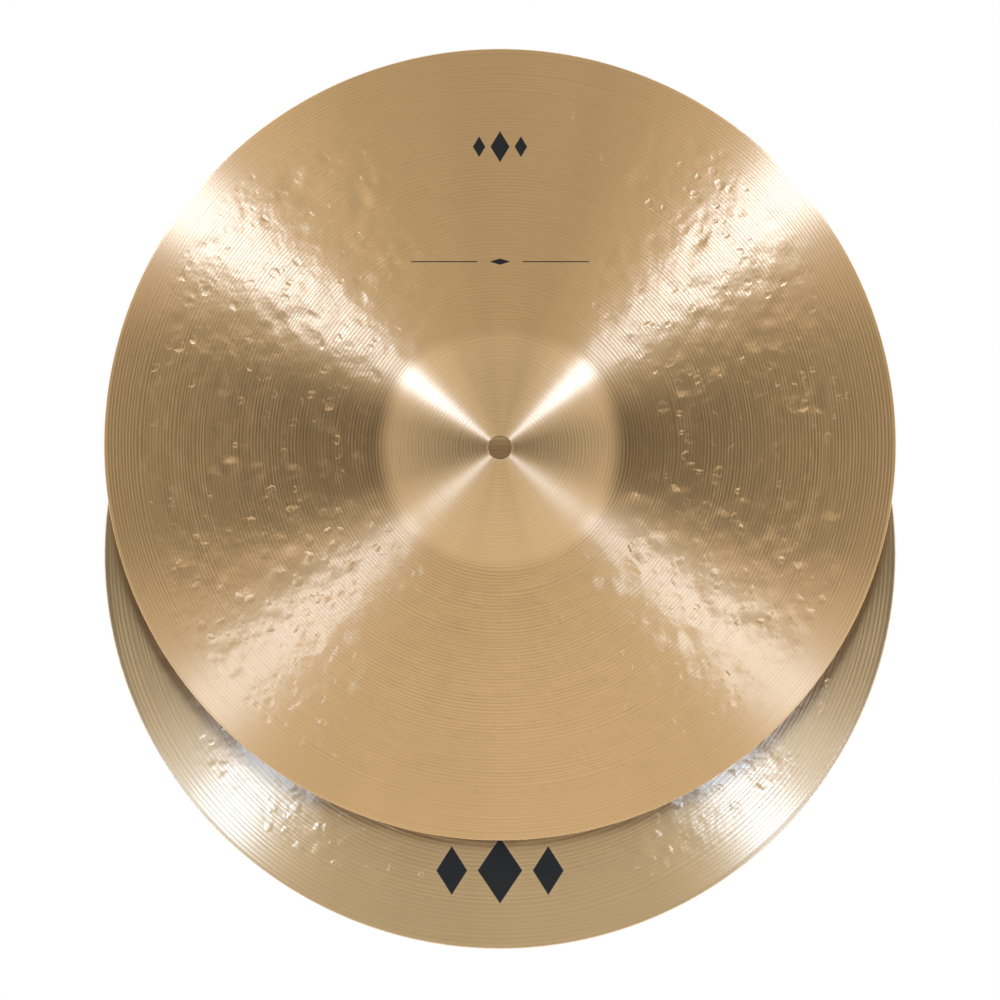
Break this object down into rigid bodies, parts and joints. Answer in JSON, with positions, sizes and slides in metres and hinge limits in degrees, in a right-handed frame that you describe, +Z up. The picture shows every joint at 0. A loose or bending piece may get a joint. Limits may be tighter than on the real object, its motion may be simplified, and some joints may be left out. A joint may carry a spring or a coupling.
{
  "type": "pair of hand cymbals",
  "caption": "Pair of round bronze hand cymbals with domed bells and strap holes, held hollow sides together and ready to clash.",
  "frame": {"origin": "middle of the strap-hole wall of the back cymbal", "axes": "+Y along the cymbals' common direction, out of the back cymbal's bell; +Z up, towards the front cymbal's raised centre"},
  "size_m": [0.4572, 0.0998, 0.5202],
  "materials": {
    "bronze": "hammered and lathed, bright satin"
  },
  "bodies": {
    "back": {"back_cymbal": "bronze"},
    "front": {"front_cymbal": "bronze"}
  },
  "joints": [
    {"name": "opening_slide", "type": "slide", "parent": "back", "child": "front", "axis": [0, -1, 0], "range_m": [0, 0.3]}
  ]
}
